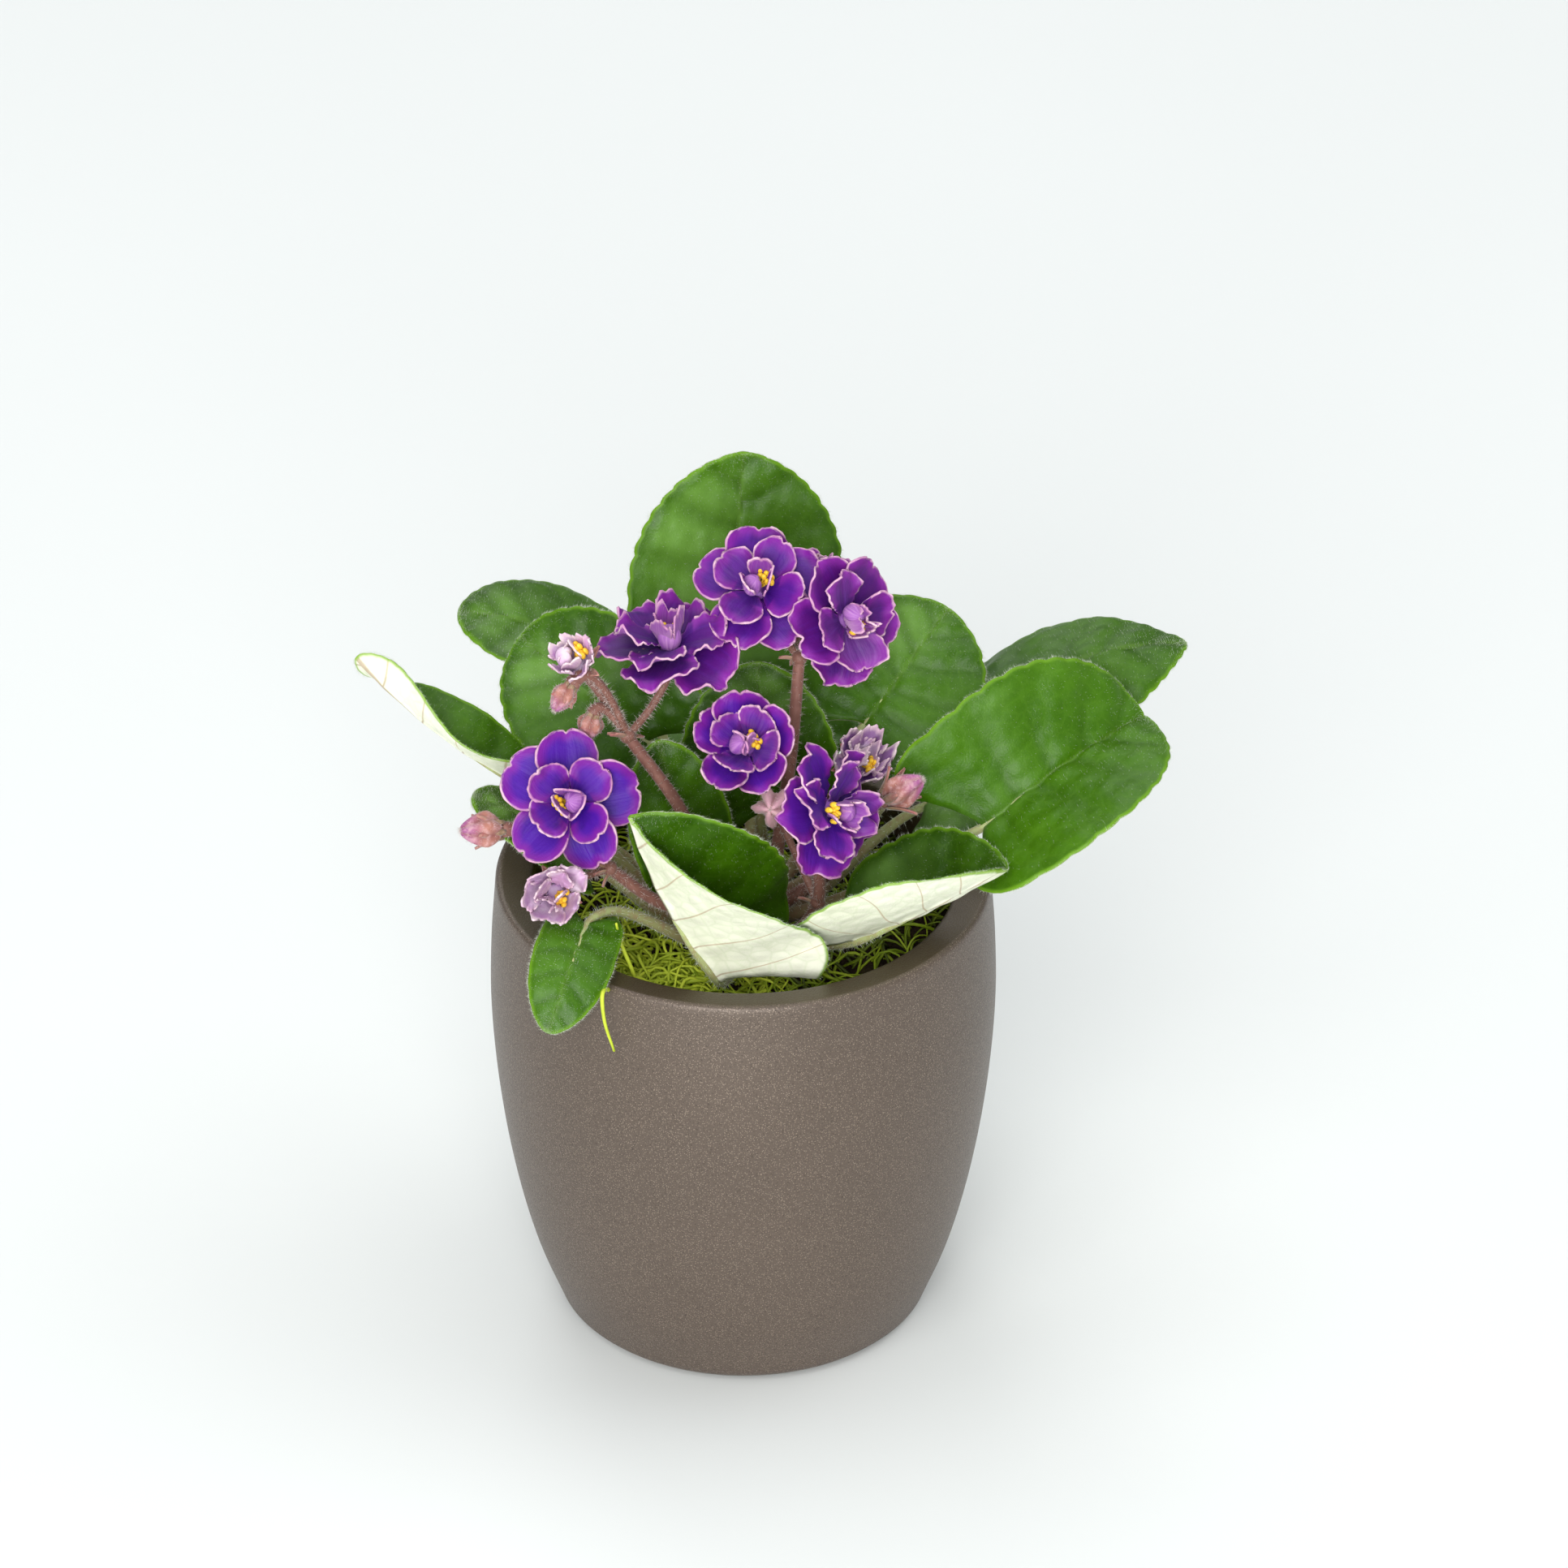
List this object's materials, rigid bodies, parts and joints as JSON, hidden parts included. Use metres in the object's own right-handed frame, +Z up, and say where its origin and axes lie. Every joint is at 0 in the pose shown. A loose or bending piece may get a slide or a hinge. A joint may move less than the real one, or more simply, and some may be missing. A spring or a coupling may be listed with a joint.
{
  "type": "potted african violet",
  "caption": "African violet with double frilled purple blooms over velvety scalloped leaves, growing in a glazed barrel-shaped ceramic pot with moss on the soil.",
  "frame": {"origin": "centre of the pot's flat underside", "axes": "+Z up along the axis of the pot, -Y towards the side the plant is looked at from, +X to that viewer's right"},
  "size_m": [0.2266, 0.1676, 0.238],
  "materials": {
    "pot": "satin speckled glaze, warm taupe brown",
    "soil": "damp dark potting soil",
    "moss": "curly yellow-green moss",
    "crown": "scarred woody plant neck",
    "leaf": "velvety dark green, pale underneath",
    "stalk": "hairy reddish brown",
    "petal": "matt blue-violet with a pale frilled edge",
    "faded": "withered pink-white petals",
    "anther": "plump yellow pollen sacs",
    "bud": "downy pink-brown"
  },
  "bodies": {
    "root": {"pot": "pot", "soil": "soil", "moss": "moss", "crown": "crown", "leaf_back_tall": "leaf", "leaf_front_keeled": "leaf", "leaf_front_right": "leaf", "leaf_left_back": "leaf", "leaf_left_far": "leaf", "leaf_left_low": "leaf", "leaf_left_upper": "leaf", "leaf_low_left": "leaf", "leaf_low_right": "leaf", "leaf_middle": "leaf", "leaf_middle_left": "leaf", "leaf_over_rim": "leaf", "leaf_rear_left": "leaf", "leaf_rear_middle": "leaf", "leaf_rear_right": "leaf", "leaf_right_back": "leaf", "leaf_right_big": "leaf", "leaf_right_upper": "leaf", "stalk_front": "stalk", "stalk_left": "stalk", "stalk_right": "stalk", "stalk_top": "stalk", "stalk_upper_left": "stalk", "bloom_faded_left": "faded", "bloom_faded_right": "faded", "bloom_left": "petal", "bloom_middle": "petal", "bloom_opening": "petal", "bloom_right": "petal", "bloom_top": "petal", "bloom_top_back": "petal", "bloom_top_left": "petal", "bloom_top_right": "petal", "anthers_faded_left": "anther", "anthers_faded_right": "anther", "anthers_left": "anther", "anthers_middle": "anther", "anthers_opening": "anther", "anthers_right": "anther", "anthers_top": "anther", "anthers_top_back": "anther", "anthers_top_left": "anther", "anthers_top_right": "anther", "bud_front": "bud", "bud_hanging": "bud", "bud_left": "bud", "bud_right": "bud", "bud_upper_left": "bud"}
  },
  "joints": []
}
